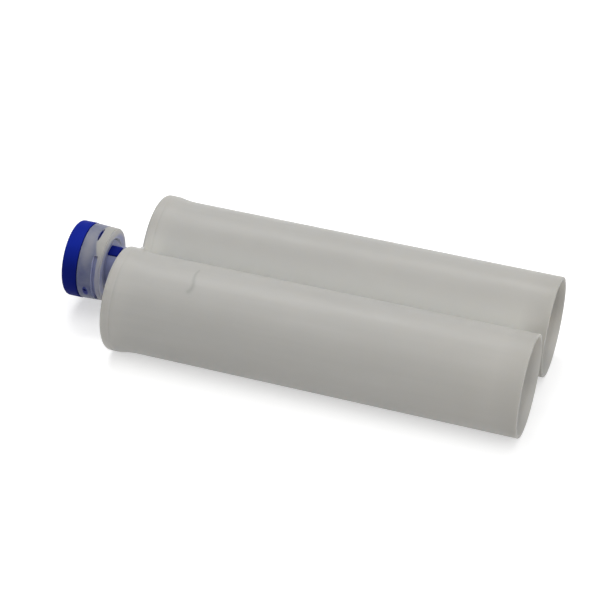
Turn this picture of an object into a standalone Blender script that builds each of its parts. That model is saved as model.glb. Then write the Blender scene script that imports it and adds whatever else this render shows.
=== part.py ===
"""Two-component cartridge: two barrels side by side, closed by a keyed plug under a retaining nut.

The cartridge lies on its front bands. +X runs along the barrels to their open ends, the nose points
to -X, the barrels lie side by side in Y and +Z is up. The origin is under the middle of the whole.
Places along the nose are given as a reach ahead of the barrels' front faces, towards -X.
"""

import math

import bmesh
import bpy
from mathutils import Matrix

MM = 0.001

# Clearance between pieces that touch in use
SEAT_GAP = 0.3 * MM

# Barrels
BARREL_LENGTH = 202.4 * MM
BARREL_RADIUS = 24.6 * MM
BARREL_WALL = 1.7 * MM
BARREL_DRAFT = 0.3 * MM
BARREL_GAP = 4.3 * MM
FRONT_WALL = 3.0 * MM
RIM_EDGE = 0.3 * MM
LEAD_IN_WIDTH = 0.5 * MM
LEAD_IN_LENGTH = 3.0 * MM
BORE_CORNER = 1.5 * MM

# Front band and shoulder of each barrel
BAND_PROUD = 1.1 * MM
BAND_LENGTH = 6.5 * MM
BAND_BLEND = 6.0 * MM
SHOULDER_RADIUS = 2.2 * MM
RING_PLACE = 4.9 * MM
RING_WIDTH = 1.2 * MM
RING_DEPTH = 0.18 * MM

# Bridge and web that join the barrels
BRIDGE_HEIGHT = 17.0 * MM
BRIDGE_STEP_BACK = 0.4 * MM
BRIDGE_FILLET = 2.0 * MM
WEB_THICKNESS = 2.0 * MM
WEB_END = 6.0 * MM
WEB_FILLET = 1.2 * MM

# Nose of the body, whose radii follow inwards from the closure's
NECK_WALL = 2.6 * MM
NECK_FOOT = 2.0 * MM
NECK_SINK = 0.1 * MM
NECK_REACH = 14.0 * MM
SPIGOT_STEP = 2.2 * MM
SPIGOT_REACH = 22.0 * MM
SPIGOT_EDGE = 0.6 * MM
DIVIDER_THICKNESS = 2.0 * MM
KEYWAY_WALL = 1.1 * MM

# Closure plug
DISC_RADIUS = 18.8 * MM
DISC_EDGE = 1.8 * MM
DISC_THICKNESS = 7.9 * MM
PLUG_FLOOR = 3.1 * MM
PLUG_GROOVE_WIDTH = 2.2 * MM
PLUG_GROOVE_DEPTH = 2.1 * MM
SKIRT_WALL = 2.8 * MM
SKIRT_REACH_BACK = 4.0 * MM
PRONG_LENGTH = 12.0 * MM
PRONG_TIP = 1.0 * MM
PRONG_WALL = 1.8 * MM
KEY_WIDTH = 6.6 * MM
KEY_THICKNESS = 1.6 * MM
KEY_LENGTH = 13.6 * MM
KEY_ANGLE = math.radians(11.0)
RECESS_DEPTH = 5.0 * MM
RECESS_RIM = 3.2 * MM
RECESS_HUB = 9.6 * MM
RIB_THICKNESS = 1.6 * MM
RIB_BARS = 3

# Retaining nut
NUT_STEP = 0.2 * MM
NUT_TAPER = 0.5 * MM
NUT_WALL = 2.4 * MM
NUT_GROOVE_PLACE = 2.1 * MM
NUT_GROOVE_WIDTH = 2.1 * MM
NUT_GROOVE_DEPTH = 1.4 * MM
NUT_GROOVE_ANGLE = math.radians(92.5)
NUT_GROOVE_END = 12.6 * MM
NUT_REAR_EDGE = 0.5 * MM
NUT_FRONT_EDGE = 0.3 * MM
NUT_THREAD_ROOM = 1.0 * MM
NUT_LIP_GAP = 0.4 * MM
SLIT_PLACE = 4.4 * MM
SLIT_WIDTH = 0.7 * MM
SLIT_LENGTH = 8.8 * MM
SLIT_ANGLE = math.radians(9.0)
PORT_RADIUS = 0.9 * MM
PORT_ANGLE = math.radians(110.0)
PORT_PLACE = 3.9 * MM
PORT_STEPS = 16
NUT_SYMMETRY = 2

# Pistons and their seals
PISTON_LENGTH = 16.0 * MM
PISTON_GAP = 0.4 * MM
PISTON_NOSE_WIDTH = 3.0 * MM
PISTON_NOSE_LENGTH = 2.0 * MM
PISTON_WALL = 2.4 * MM
PISTON_CROWN = 2.6 * MM
PISTON_HUB_RADIUS = 5.0 * MM
PISTON_RIB_STEP = 2.5 * MM
PISTON_EDGE = 0.6 * MM
SEAL_THICKNESS = 2.4 * MM
SEAL_RUNNING_GAP = 0.08 * MM
SEAL_PLACE = 5.5 * MM

# Fineness of the round surfaces
BARREL_STEPS = 64
NOSE_STEPS = 56
PISTON_STEPS = 48
SEAL_STEPS = 48
SEAL_SIDES = 6
CORNER_STEPS = 3
SHARP_ANGLE = math.radians(30.0)

# Reach of a cutter past the surface that it cuts, a guide's turn in facets, and the welding of points
OVERCUT = 1.0 * MM
GUIDE_PHASE = 0.5
MERGE_DISTANCE = 0.001 * MM

# Sizes that follow from the ones above
BORE_RADIUS = BARREL_RADIUS - BARREL_WALL
FRONT_RADIUS = BARREL_RADIUS - BARREL_DRAFT
BAND_RADIUS = FRONT_RADIUS + BAND_PROUD
BARREL_OFFSET = BARREL_RADIUS + BARREL_GAP / 2
NUT_FRONT_RADIUS = DISC_RADIUS - NUT_STEP
NUT_REAR_RADIUS = NUT_FRONT_RADIUS - NUT_TAPER
NUT_GROOVE_FLOOR = NUT_REAR_RADIUS - NUT_GROOVE_DEPTH
NUT_CHAMBER_RADIUS = NUT_REAR_RADIUS - NUT_WALL
SKIRT_RADIUS = NUT_CHAMBER_RADIUS - NUT_LIP_GAP
SKIRT_INNER_RADIUS = SKIRT_RADIUS - SKIRT_WALL
SPIGOT_RADIUS = SKIRT_INNER_RADIUS - SEAT_GAP
NECK_RADIUS = SPIGOT_RADIUS - SPIGOT_STEP
CHANNEL_RADIUS = NECK_RADIUS - NECK_WALL
KEYWAY_FLOOR = CHANNEL_RADIUS + KEYWAY_WALL
PLUG_GROOVE_RADIUS = SKIRT_RADIUS - PLUG_GROOVE_DEPTH
PLUG_SEAT = SPIGOT_REACH + SEAT_GAP
NUT_REAR = NECK_REACH - SEAT_GAP
DISC_REAR = PLUG_SEAT + PLUG_FLOOR
NUT_FRONT = DISC_REAR - SEAT_GAP
NOSE_REACH = DISC_REAR + DISC_THICKNESS
SKIRT_FRONT = DISC_REAR - PLUG_GROOVE_WIDTH
SKIRT_REAR = SPIGOT_REACH - SKIRT_REACH_BACK
NUT_LIP_RADIUS = PLUG_GROOVE_RADIUS + NUT_LIP_GAP
NUT_LIP_REAR = SKIRT_FRONT + SEAT_GAP
NUT_BORE_RADIUS = SPIGOT_RADIUS + NUT_THREAD_ROOM
REAR_X = (BARREL_LENGTH + NOSE_REACH) / 2
FRONT_X = REAR_X - BARREL_LENGTH
AXIS_Z = BAND_RADIUS
SIDES = {"left": -1, "right": 1}

# Finishes: name, colour, roughness
NATURAL = ("natural_polypropylene", (0.46, 0.455, 0.44, 1.0), 0.45)
TINTED = ("tinted_polypropylene", (0.33, 0.33, 0.36, 1.0), 0.45)
BLUE = ("blue_polyethylene", (0.01, 0.024, 0.22, 1.0), 0.45)
WHITE = ("white_polyethylene", (0.8, 0.8, 0.78, 1.0), 0.45)
RUBBER = ("black_rubber", (0.02, 0.02, 0.022, 1.0), 0.6)


def clear_scene():
    """Remove every object, so that the model starts from nothing."""
    for obj in list(bpy.data.objects):
        bpy.data.objects.remove(obj, do_unlink=True)


def new_collection(name):
    collection = bpy.data.collections.new(name)
    bpy.context.scene.collection.children.link(collection)
    return collection


def plain_material(piece, finish):
    """A piece's own Principled material, of one plain colour."""
    name, colour, roughness = finish
    material = bpy.data.materials.new(f"{piece}_{name}")
    material.use_nodes = True
    shader = material.node_tree.nodes["Principled BSDF"]
    shader.inputs["Base Color"].default_value = colour
    shader.inputs["Roughness"].default_value = roughness
    shader.inputs["Metallic"].default_value = 0.0
    return material


def arc(centre_x, centre_r, radius, start, end, steps=CORNER_STEPS):
    """Points (x, r) on a circular corner, from one angle to another, in degrees from the +X axis."""
    points = []
    for step in range(steps + 1):
        angle = math.radians(start + (end - start) * step / steps)
        points.append((centre_x + radius * math.cos(angle), centre_r + radius * math.sin(angle)))
    return points


def ahead(reach):
    """The X of a place on the nose, relative to the barrels' front faces."""
    return -reach


def turned(name, outline, steps, collection, ring=False, phase=0.0):
    """A solid turned about the X axis, from (x, r) points that run from the rear over the outside forward.

    The phase, a share of one facet, keeps the facets of a guide off the corners of what it cuts or joins.
    """
    mesh = bpy.data.meshes.new(name)
    start = math.tau * phase / steps
    points = [(r * math.cos(start), r * math.sin(start), x) for x, r in outline]
    edges = [(i, i + 1) for i in range(len(points) - 1)]
    if ring:
        edges.append((len(points) - 1, 0))
    mesh.from_pydata(points, edges, [])
    obj = bpy.data.objects.new(name, mesh)
    collection.objects.link(obj)
    screw = obj.modifiers.new("turn", "SCREW")
    screw.axis = "Z"
    screw.angle = math.tau
    screw.steps = steps
    screw.render_steps = steps
    screw.use_merge_vertices = True
    screw.merge_threshold = MERGE_DISTANCE
    screw.use_smooth_shade = True
    obj.rotation_euler = (0.0, math.pi / 2, 0.0)
    return obj


def block(name, low, high, collection, turn=0.0):
    """A box between two corners, turned about the X axis of its own origin."""
    bpy.ops.mesh.primitive_cube_add(size=1.0)
    obj = bpy.context.active_object
    obj.name = name
    size = [high[i] - low[i] for i in range(3)]
    middle = [(high[i] + low[i]) / 2 for i in range(3)]
    stretch = Matrix.Diagonal((*size, 1.0))
    obj.data.transform(Matrix.Rotation(turn, 4, "X") @ Matrix.Translation(middle) @ stretch)
    move_to(obj, collection)
    return obj


def move_to(obj, collection):
    for holder in list(obj.users_collection):
        holder.objects.unlink(obj)
    collection.objects.link(obj)


def place(obj, x, y):
    """Put an object's origin on the level of the barrels' axes."""
    obj.location = (x, y, AXIS_Z)
    return obj


def combine(obj, tool, operation):
    """Join a guide to an object, or cut it away, or keep what both share."""
    boolean = obj.modifiers.new(f"{operation.lower()}_{tool.name}", "BOOLEAN")
    boolean.operation = operation
    boolean.solver = "EXACT"
    boolean.object = tool
    tool.display_type = "WIRE"
    tool.hide_render = True


def settle(obj, finish):
    """Turn the modifiers into the object's own mesh, smooth on its round faces, and give it a finish."""
    bpy.context.view_layer.update()
    graph = bpy.context.evaluated_depsgraph_get()
    mesh = bpy.data.meshes.new_from_object(obj.evaluated_get(graph))
    obj.modifiers.clear()
    obj.data = mesh
    mesh.name = obj.name
    mesh.shade_smooth()
    mesh.set_sharp_from_angle(angle=SHARP_ANGLE)
    mesh.materials.clear()
    mesh.materials.append(plain_material(obj.name, finish))
    return obj


def barrel_outline():
    """Outside of one barrel: rim, drafted tube, blend, band with its ring groove, rounded shoulder."""
    band_end = FRONT_X + BAND_LENGTH
    ring = FRONT_X + RING_PLACE
    blend = []
    for step in range(1, CORNER_STEPS):
        share = step / CORNER_STEPS
        rise = (1 - math.cos(math.pi * share)) / 2
        blend.append((band_end + BAND_BLEND * (1 - share), FRONT_RADIUS + BAND_PROUD * rise))
    return [
        (REAR_X, 0.0),
        (REAR_X, BARREL_RADIUS - RIM_EDGE),
        (REAR_X - RIM_EDGE, BARREL_RADIUS),
        (band_end + BAND_BLEND, FRONT_RADIUS),
        *blend,
        (band_end, BAND_RADIUS),
        (ring + RING_WIDTH / 2, BAND_RADIUS),
        (ring + RING_WIDTH / 4, BAND_RADIUS - RING_DEPTH),
        (ring - RING_WIDTH / 4, BAND_RADIUS - RING_DEPTH),
        (ring - RING_WIDTH / 2, BAND_RADIUS),
        *arc(FRONT_X + SHOULDER_RADIUS, BAND_RADIUS - SHOULDER_RADIUS, SHOULDER_RADIUS, 90, 180),
        (FRONT_X, 0.0),
    ]


def bore_outline():
    """Inside of one barrel, with a lead-in for the piston and a rounded corner at the front wall."""
    floor = FRONT_X + FRONT_WALL
    return [
        (REAR_X + OVERCUT, 0.0),
        (REAR_X + OVERCUT, BORE_RADIUS + LEAD_IN_WIDTH * (1 + OVERCUT / LEAD_IN_LENGTH)),
        (REAR_X - LEAD_IN_LENGTH, BORE_RADIUS),
        *arc(floor + BORE_CORNER, BORE_RADIUS - BORE_CORNER, BORE_CORNER, 90, 180),
        (floor, 0.0),
    ]


def nose_outline():
    """Neck and spigot, rooted in the barrels' front walls."""
    return [
        (ahead(-FRONT_WALL / 2), 0.0),
        (ahead(-FRONT_WALL / 2), NECK_RADIUS + NECK_FOOT),
        *arc(ahead(NECK_FOOT - NECK_SINK), NECK_RADIUS + NECK_FOOT, NECK_FOOT, 0, -90),
        (ahead(NECK_REACH), NECK_RADIUS),
        (ahead(NECK_REACH), SPIGOT_RADIUS),
        (ahead(SPIGOT_REACH - SPIGOT_EDGE), SPIGOT_RADIUS),
        (ahead(SPIGOT_REACH), SPIGOT_RADIUS - SPIGOT_EDGE),
        (ahead(SPIGOT_REACH), 0.0),
    ]


def saddle(name, half_height, radius, fillet, front, rear, collection):
    """A rib between two round walls of one radius, with a fillet where it meets each of them."""
    across = math.sqrt((radius + fillet) ** 2 - (half_height + fillet) ** 2)
    slope = math.degrees(math.atan2(half_height + fillet, across))
    corner = arc(BARREL_OFFSET - across, half_height + fillet, fillet, -90, -slope)
    sunk = (corner[-1][0] + BARREL_WALL, corner[-1][1])
    above = [(-y, z) for y, z in reversed([*corner, sunk])] + [*corner, sunk]
    outline = above + [(y, -z) for y, z in reversed(above)]
    made = bmesh.new()
    face = made.faces.new([made.verts.new((front, y, z)) for y, z in outline])
    grown = bmesh.ops.extrude_face_region(made, geom=[face])["geom"]
    moved = [item for item in grown if isinstance(item, bmesh.types.BMVert)]
    bmesh.ops.translate(made, verts=moved, vec=(rear - front, 0.0, 0.0))
    bmesh.ops.recalc_face_normals(made, faces=made.faces)
    mesh = bpy.data.meshes.new(name)
    made.to_mesh(mesh)
    made.free()
    obj = bpy.data.objects.new(name, mesh)
    collection.objects.link(obj)
    return place(obj, 0.0, 0.0)


def half_moons(name, radius, divider, rear, front, guides, tip=0.0):
    """Two D-shaped rods, one on each side of a divider, between two places along the nose."""
    outline = [
        (rear, 0.0),
        (rear, radius - tip),
        (rear - tip, radius),
        (front, radius),
        (front, 0.0),
    ]
    if tip == 0.0:
        del outline[2]
    rods = place(turned(name, outline, NOSE_STEPS, guides, phase=GUIDE_PHASE), FRONT_X, 0.0)
    low = (front - OVERCUT, -divider / 2, -radius - OVERCUT)
    high = (rear + OVERCUT, divider / 2, radius + OVERCUT)
    combine(rods, place(block(name + "_divider", low, high, guides), FRONT_X, 0.0), "DIFFERENCE")
    return rods


def key_bar(name, radius, width, floor, rear, front, guides):
    """A tongue on the nose axis's upper side, with a round back."""
    outline = [(rear, 0.0), (rear, radius), (front, radius), (front, 0.0)]
    bar = place(turned(name, outline, NOSE_STEPS, guides, phase=GUIDE_PHASE), FRONT_X, 0.0)
    low = (front - OVERCUT, -width / 2, floor)
    high = (rear + OVERCUT, width / 2, radius + OVERCUT)
    combine(bar, place(block(name + "_side", low, high, guides, KEY_ANGLE), FRONT_X, 0.0), "INTERSECT")
    return bar


def build_body(parts, guides):
    """The one-piece cartridge moulding."""
    body = place(turned("cartridge_body", barrel_outline(), BARREL_STEPS, parts), 0.0, -BARREL_OFFSET)
    other = place(turned("right_barrel", barrel_outline(), BARREL_STEPS, guides), 0.0, BARREL_OFFSET)
    combine(body, other, "UNION")

    bridge = saddle("bridge", BRIDGE_HEIGHT / 2, BAND_RADIUS, BRIDGE_FILLET,
                    FRONT_X + BRIDGE_STEP_BACK, FRONT_X + BAND_LENGTH, guides)
    combine(body, bridge, "UNION")
    web = saddle("web", WEB_THICKNESS / 2, FRONT_RADIUS, WEB_FILLET,
                 FRONT_X + BAND_LENGTH / 2, REAR_X - WEB_END, guides)
    combine(body, web, "UNION")
    nose = place(turned("nose", nose_outline(), NOSE_STEPS, guides), FRONT_X, 0.0)
    combine(body, nose, "UNION")

    for side, sign in SIDES.items():
        bore = turned(f"{side}_bore", bore_outline(), BARREL_STEPS, guides, phase=GUIDE_PHASE)
        place(bore, 0.0, sign * BARREL_OFFSET)
        combine(body, bore, "DIFFERENCE")
    channels = half_moons("channels", CHANNEL_RADIUS, DIVIDER_THICKNESS, ahead(-FRONT_WALL - SEAT_GAP),
                          ahead(SPIGOT_REACH + OVERCUT), guides)
    combine(body, channels, "DIFFERENCE")
    keyway_roof = KEYWAY_FLOOR + KEY_THICKNESS + 2 * SEAT_GAP
    keyway_end = ahead(PLUG_SEAT - KEY_LENGTH - SEAT_GAP)
    keyway = key_bar("keyway", keyway_roof, KEY_WIDTH + 2 * SEAT_GAP, KEYWAY_FLOOR,
                     keyway_end, ahead(SPIGOT_REACH + OVERCUT), guides)
    combine(body, keyway, "DIFFERENCE")
    settle(body, NATURAL)


def plug_outline():
    """Disc, groove for the nut's lip, and the skirt over the spigot."""
    return [
        (ahead(PLUG_SEAT), 0.0),
        (ahead(PLUG_SEAT), SKIRT_INNER_RADIUS),
        (ahead(SKIRT_REAR), SKIRT_INNER_RADIUS),
        (ahead(SKIRT_REAR), SKIRT_RADIUS),
        (ahead(SKIRT_FRONT), SKIRT_RADIUS),
        (ahead(SKIRT_FRONT), PLUG_GROOVE_RADIUS),
        (ahead(DISC_REAR), PLUG_GROOVE_RADIUS),
        (ahead(DISC_REAR), DISC_RADIUS - SEAT_GAP),
        (ahead(DISC_REAR + SEAT_GAP), DISC_RADIUS),
        *arc(ahead(NOSE_REACH - DISC_EDGE), DISC_RADIUS - DISC_EDGE, DISC_EDGE, 90, 180),
        (ahead(NOSE_REACH), 0.0),
    ]


def build_plug(parts, guides):
    """The blue closure plug: it is cored from the front, as thick mouldings are."""
    plug = place(turned("closure_plug", plug_outline(), NOSE_STEPS, parts), FRONT_X, 0.0)
    divider = DIVIDER_THICKNESS + 2 * SEAT_GAP
    rear = ahead(PLUG_SEAT - PRONG_LENGTH)
    front = ahead(PLUG_SEAT + SEAT_GAP)
    prong_radius = CHANNEL_RADIUS - SEAT_GAP
    combine(plug, half_moons("prongs", prong_radius, divider, rear, front, guides, PRONG_TIP), "UNION")
    key = key_bar("key", KEYWAY_FLOOR + SEAT_GAP + KEY_THICKNESS, KEY_WIDTH, KEYWAY_FLOOR + SEAT_GAP,
                  ahead(PLUG_SEAT - KEY_LENGTH), front, guides)
    combine(plug, key, "UNION")
    cores = half_moons("cores", prong_radius - PRONG_WALL, divider + 2 * PRONG_WALL, rear - PRONG_WALL,
                       ahead(NOSE_REACH + OVERCUT), guides)
    combine(plug, cores, "DIFFERENCE")
    combine(plug, plug_recess(guides), "DIFFERENCE")
    settle(plug, BLUE)


def plug_recess(guides):
    """Ring-shaped recess of the disc's front, parted by ribs."""
    outer = DISC_RADIUS - RECESS_RIM
    floor = ahead(NOSE_REACH - RECESS_DEPTH)
    mouth = ahead(NOSE_REACH + OVERCUT)
    outline = [(floor, RECESS_HUB), (floor, outer), (mouth, outer), (mouth, RECESS_HUB)]
    recess = turned("recess", outline, NOSE_STEPS, guides, ring=True, phase=GUIDE_PHASE)
    place(recess, FRONT_X, 0.0)
    for index in range(RIB_BARS):
        turn = math.pi * (index + 0.5) / RIB_BARS
        low = (mouth - OVERCUT, -DISC_RADIUS, -RIB_THICKNESS / 2)
        high = (floor + OVERCUT, DISC_RADIUS, RIB_THICKNESS / 2)
        bar = place(block(f"rib_bar_{index}", low, high, guides, turn), FRONT_X, 0.0)
        combine(recess, bar, "DIFFERENCE")
    return recess


def nut_outline():
    """Section of the nut: conical outside, lip, chamber for the plug's skirt, thread bore."""
    chamber_rear = ahead(SKIRT_REAR - 2 * SEAT_GAP)
    return [
        (ahead(NUT_REAR), NUT_BORE_RADIUS),
        *arc(ahead(NUT_REAR + NUT_REAR_EDGE), NUT_REAR_RADIUS - NUT_REAR_EDGE, NUT_REAR_EDGE, 0, 90),
        (ahead(NUT_FRONT - NUT_FRONT_EDGE), NUT_FRONT_RADIUS),
        (ahead(NUT_FRONT), NUT_FRONT_RADIUS - NUT_FRONT_EDGE),
        (ahead(NUT_FRONT), NUT_LIP_RADIUS),
        (ahead(NUT_LIP_REAR), NUT_LIP_RADIUS),
        (ahead(NUT_LIP_REAR), NUT_CHAMBER_RADIUS),
        (chamber_rear, NUT_CHAMBER_RADIUS),
        (chamber_rear, NUT_BORE_RADIUS),
    ]


def nut_groove(guides):
    """Two grooves round the nut's sides, each ended by a flat wall as a side core leaves it."""
    rear = ahead(NUT_REAR + NUT_GROOVE_PLACE)
    front = rear - NUT_GROOVE_WIDTH
    brim = NUT_FRONT_RADIUS + OVERCUT
    outline = [(rear, NUT_GROOVE_FLOOR), (rear, brim), (front, brim), (front, NUT_GROOVE_FLOOR)]
    groove = turned("nut_groove", outline, NOSE_STEPS, guides, ring=True, phase=GUIDE_PHASE)
    place(groove, FRONT_X, 0.0)
    low = (front - OVERCUT, -brim - OVERCUT, -NUT_GROOVE_END)
    high = (rear + OVERCUT, brim + OVERCUT, NUT_GROOVE_END)
    turn = NUT_GROOVE_ANGLE - math.pi / 2
    sides = place(block("nut_groove_sides", low, high, guides, turn), FRONT_X, 0.0)
    combine(groove, sides, "INTERSECT")
    return groove


def build_nut(parts, guides):
    """The retaining nut: grooves round its sides, and slits and small ports over the plug's skirt."""
    nut = place(turned("retaining_nut", nut_outline(), NOSE_STEPS, parts, ring=True), FRONT_X, 0.0)
    combine(nut, nut_groove(guides), "DIFFERENCE")
    brim = NUT_FRONT_RADIUS + OVERCUT
    rear = ahead(NUT_REAR + SLIT_PLACE)
    for index in range(NUT_SYMMETRY):
        turn = SLIT_ANGLE + math.tau * index / NUT_SYMMETRY
        low = (rear - SLIT_WIDTH, -SLIT_LENGTH / 2, NUT_BORE_RADIUS)
        high = (rear, SLIT_LENGTH / 2, brim)
        slit = place(block(f"nut_slit_{index}", low, high, guides, turn), FRONT_X, 0.0)
        combine(nut, slit, "DIFFERENCE")
        combine(nut, nut_port(index, brim, guides), "DIFFERENCE")
    settle(nut, TINTED)


def nut_port(index, brim, guides):
    """A round hole through the nut's conical front."""
    depth = brim - NUT_BORE_RADIUS
    bpy.ops.mesh.primitive_cylinder_add(vertices=PORT_STEPS, radius=PORT_RADIUS, depth=depth)
    port = bpy.context.active_object
    port.name = f"nut_port_{index}"
    move_to(port, guides)
    turn = PORT_ANGLE + math.tau * index / NUT_SYMMETRY
    along = Matrix.Translation((ahead(NUT_FRONT - PORT_PLACE), 0.0, NUT_BORE_RADIUS + depth / 2))
    port.data.transform(Matrix.Rotation(turn, 4, "X") @ along)
    return place(port, FRONT_X, 0.0)


def piston_outline():
    """Section of a piston: chamfered nose, seal groove, skirt, hollow rear with a hub."""
    radius = BORE_RADIUS - PISTON_GAP
    groove_half = SEAL_THICKNESS / 2 + SEAT_GAP
    groove_floor = BORE_RADIUS - SEAL_RUNNING_GAP - SEAL_THICKNESS - SEAT_GAP
    hollow = groove_floor - PISTON_WALL
    return [
        (PISTON_LENGTH - PISTON_RIB_STEP, 0.0),
        (PISTON_LENGTH - PISTON_RIB_STEP, PISTON_HUB_RADIUS),
        (PISTON_CROWN, PISTON_HUB_RADIUS),
        (PISTON_CROWN, hollow),
        (PISTON_LENGTH, hollow + PISTON_EDGE),
        (PISTON_LENGTH, radius - PISTON_EDGE),
        (PISTON_LENGTH - PISTON_EDGE, radius),
        (SEAL_PLACE + groove_half, radius),
        (SEAL_PLACE + groove_half, groove_floor),
        (SEAL_PLACE - groove_half, groove_floor),
        (SEAL_PLACE - groove_half, radius),
        (PISTON_NOSE_LENGTH, radius),
        (0.0, radius - PISTON_NOSE_WIDTH),
        (0.0, 0.0),
    ]


def build_pistons(parts, guides):
    """One piston in each barrel, at the front wall, as in an empty cartridge."""
    start = FRONT_X + FRONT_WALL + SEAT_GAP
    reach = BORE_RADIUS - PISTON_GAP - PISTON_WALL
    for side, sign in SIDES.items():
        offset = sign * BARREL_OFFSET
        piston = place(turned(f"piston_{side}", piston_outline(), PISTON_STEPS, parts), start, offset)
        for index in range(RIB_BARS):
            turn = math.pi * index / RIB_BARS
            low = (PISTON_CROWN / 2, -reach, -RIB_THICKNESS / 2)
            high = (PISTON_LENGTH - PISTON_RIB_STEP, reach, RIB_THICKNESS / 2)
            rib = place(block(f"piston_rib_{side}_{index}", low, high, guides, turn), start, offset)
            combine(piston, rib, "UNION")
        settle(piston, WHITE)


def build_seals(parts):
    """The O-ring in each piston's groove."""
    middle = BORE_RADIUS - SEAL_RUNNING_GAP - SEAL_THICKNESS / 2
    start = FRONT_X + FRONT_WALL + SEAT_GAP
    for side, sign in SIDES.items():
        bpy.ops.mesh.primitive_torus_add(major_segments=SEAL_STEPS, minor_segments=SEAL_SIDES,
                                         major_radius=middle, minor_radius=SEAL_THICKNESS / 2)
        seal = bpy.context.active_object
        seal.name = f"piston_seal_{side}"
        seal.rotation_euler = (0.0, math.pi / 2, 0.0)
        move_to(seal, parts)
        place(seal, start + SEAL_PLACE, sign * BARREL_OFFSET)
        settle(seal, RUBBER)


def main():
    clear_scene()
    parts = new_collection("two_component_cartridge")
    guides = new_collection("cutters")
    build_body(parts, guides)
    build_plug(parts, guides)
    build_nut(parts, guides)
    build_pistons(parts, guides)
    build_seals(parts)


main()
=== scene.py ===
import math

import bmesh
import bpy
from mathutils import Matrix, Vector


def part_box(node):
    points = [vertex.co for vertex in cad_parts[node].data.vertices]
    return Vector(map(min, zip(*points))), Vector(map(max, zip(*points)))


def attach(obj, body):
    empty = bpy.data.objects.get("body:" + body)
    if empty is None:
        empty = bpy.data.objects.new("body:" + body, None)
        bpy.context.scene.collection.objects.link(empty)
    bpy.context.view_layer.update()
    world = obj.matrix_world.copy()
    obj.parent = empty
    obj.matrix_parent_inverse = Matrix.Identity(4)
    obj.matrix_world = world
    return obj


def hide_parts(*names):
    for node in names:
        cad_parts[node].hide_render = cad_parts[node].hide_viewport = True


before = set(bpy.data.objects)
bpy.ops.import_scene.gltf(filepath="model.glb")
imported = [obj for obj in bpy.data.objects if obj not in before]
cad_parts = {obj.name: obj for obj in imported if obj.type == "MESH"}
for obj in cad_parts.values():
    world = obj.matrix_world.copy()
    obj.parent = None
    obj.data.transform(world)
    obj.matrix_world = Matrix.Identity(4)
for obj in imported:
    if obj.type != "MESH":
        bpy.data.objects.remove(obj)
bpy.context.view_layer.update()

# The looks of the two-component cartridge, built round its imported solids. Each solid is replaced by
# a smooth piece of the same sizes. +X runs along the barrels to their open ends and the nose points
# to -X. Angles round an axis run from the top towards -Y, the camera's side. A reach is a place on
# the nose, ahead of the barrels.

MM = 0.001

# Sizes of the solids in model.glb
BODY_LOW, BODY_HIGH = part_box("cartridge_body")
PLUG_LOW, PLUG_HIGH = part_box("closure_plug")
REAR_X = BODY_HIGH.x
BAND_RADIUS = (BODY_HIGH.z - BODY_LOW.z) / 2
AXIS_Z = (BODY_HIGH.z + BODY_LOW.z) / 2
BARREL_OFFSET = BODY_HIGH.y - BAND_RADIUS
DISC_RADIUS = (PLUG_HIGH.z - PLUG_LOW.z) / 2

# Barrels
SEAT_GAP = 0.3 * MM
BARREL_LENGTH = 202.4 * MM
BARREL_RADIUS = 24.6 * MM
BARREL_WALL = 1.7 * MM
BARREL_DRAFT = 0.3 * MM
FRONT_WALL = 3.0 * MM
RIM_ROUND = 0.45 * MM
LEAD_IN_WIDTH = 0.5 * MM
LEAD_IN_LENGTH = 3.0 * MM
BORE_CORNER = 1.5 * MM
BAND_LENGTH = 6.5 * MM
BAND_BLEND = 6.0 * MM
BAND_ROUND = 8.0 * MM
BLEND_ROUND = 28.0 * MM
LEAD_IN_ROUND = 7.0 * MM
SHOULDER_RADIUS = 2.2 * MM
RING_PLACE = 4.9 * MM
RING_WIDTH = 1.2 * MM
RING_DEPTH = 0.14 * MM
RING_ROUND = 1.3 * MM

# Bridge and web between the barrels
BRIDGE_HEIGHT = 17.0 * MM
BRIDGE_STEP_BACK = 0.4 * MM
BRIDGE_FILLET = 2.0 * MM
WEB_THICKNESS = 2.0 * MM
WEB_END = 6.0 * MM
WEB_FILLET = 1.2 * MM

# Nose of the body
NECK_RADIUS = 10.0 * MM
NECK_FOOT = 2.0 * MM
NECK_REACH = 14.0 * MM
SPIGOT_RADIUS = 12.2 * MM
SPIGOT_REACH = 22.0 * MM
SPIGOT_EDGE = 0.6 * MM
SPIGOT_ROUND = 0.3 * MM
CHANNEL_RADIUS = 7.4 * MM
DIVIDER_THICKNESS = 2.0 * MM
KEYWAY_FLOOR = 8.5 * MM

# Two-start thread between the spigot and the nut
THREAD_LEAD = 6.0 * MM
THREAD_STARTS = 2
THREAD_REAR = 14.5 * MM
THREAD_FRONT = 17.6 * MM
THREAD_CREST = 0.62 * MM
NUT_THREAD_CREST = 0.42 * MM
THREAD_SHARE = 0.34
THREAD_FADE = 0.5 * MM

# Closure plug
DISC_EDGE = 1.8 * MM
DISC_THICKNESS = 7.9 * MM
DISC_REAR_ROUND = 0.3 * MM
PLUG_FLOOR = 3.1 * MM
PLUG_GROOVE_WIDTH = 2.2 * MM
PLUG_GROOVE_RADIUS = 13.2 * MM
SKIRT_WALL = 2.8 * MM
SKIRT_REACH_BACK = 4.0 * MM
SKIRT_ROUND = 0.4 * MM
PRONG_LENGTH = 12.0 * MM
PRONG_TIP = 1.0 * MM
PRONG_WALL = 1.8 * MM
KEY_WIDTH = 6.6 * MM
KEY_THICKNESS = 1.6 * MM
KEY_LENGTH = 13.6 * MM
KEY_ANGLE = math.radians(11.0)
RECESS_DEPTH = 5.0 * MM
RECESS_RIM = 3.2 * MM
RECESS_HUB = 9.6 * MM
RECESS_ROUND = 0.6 * MM
RIB_THICKNESS = 1.6 * MM
RIB_BARS = 3

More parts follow.
